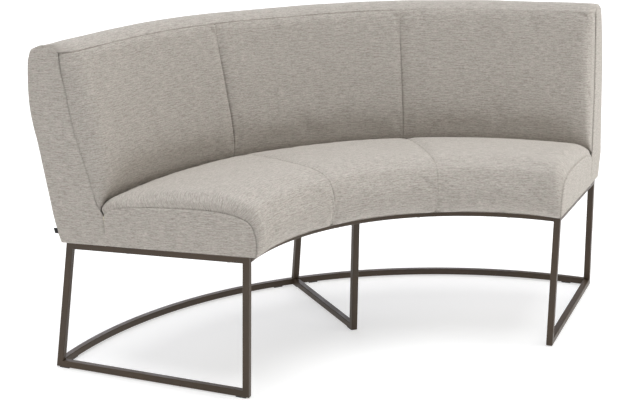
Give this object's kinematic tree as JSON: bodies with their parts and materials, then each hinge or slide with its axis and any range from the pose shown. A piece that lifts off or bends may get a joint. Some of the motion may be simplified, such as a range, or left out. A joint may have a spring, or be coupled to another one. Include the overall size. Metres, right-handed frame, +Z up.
{
  "type": "curved banquette bench",
  "caption": "Quarter-ring upholstered banquette bench with a leaning padded back, on an open square-tube steel frame with plastic glides.",
  "frame": {"origin": "on the floor, under the middle of the bounding box", "axes": "+X to the sitter's left end, along the chord of the ring; +Y from the sitting side to the rear; +Z up"},
  "size_m": [1.7798, 0.8508, 0.8777],
  "materials": {
    "frame_paint": "dark bronze satin powder coat",
    "glide_plastic": "matt black",
    "zinc_steel": "zinc plated",
    "plywood": "raw plywood",
    "elastic_webbing": "woven elastic",
    "base_foam": "foam",
    "dust_cloth": "thin black cloth",
    "slub_weave": "warm grey slub weave",
    "tab_cloth": "plain dark tape"
  },
  "bodies": {
    "root": {"left_front_leg": "frame_paint", "left_rear_leg": "frame_paint", "left_floor_rail": "frame_paint", "left_top_rail": "frame_paint", "middle_front_leg": "frame_paint", "middle_rear_leg": "frame_paint", "middle_floor_rail": "frame_paint", "middle_top_rail": "frame_paint", "right_front_leg": "frame_paint", "right_rear_leg": "frame_paint", "right_floor_rail": "frame_paint", "right_top_rail": "frame_paint", "front_top_rail": "frame_paint", "rear_floor_rail_left": "frame_paint", "rear_floor_rail_right": "frame_paint", "rear_top_rail_left": "frame_paint", "rear_top_rail_right": "frame_paint", "glides": "glide_plastic", "frame_screws": "zinc_steel", "seat_front_board": "plywood", "seat_rear_board": "plywood", "seat_end_board_left": "plywood", "seat_end_board_right": "plywood", "seat_cross_boards": "plywood", "seat_straps": "elastic_webbing", "seat_base_foam": "base_foam", "dust_cover": "dust_cloth", "seat_pad_left": "slub_weave", "seat_pad_middle": "slub_weave", "seat_pad_right": "slub_weave", "seat_side_cover_left": "slub_weave", "seat_side_cover_right": "slub_weave", "back_end_rib_left": "plywood", "back_end_rib_right": "plywood", "back_inner_ribs": "plywood", "back_foot_rail": "plywood", "back_top_board": "plywood", "back_front_board": "plywood", "back_rear_board": "plywood", "back_base_foam": "base_foam", "back_pad_left": "slub_weave", "back_pad_middle": "slub_weave", "back_pad_right": "slub_weave", "top_strip": "slub_weave", "back_side_cover_left": "slub_weave", "back_side_cover_right": "slub_weave", "rear_cover": "slub_weave", "seam_tab": "tab_cloth"}
  },
  "joints": []
}
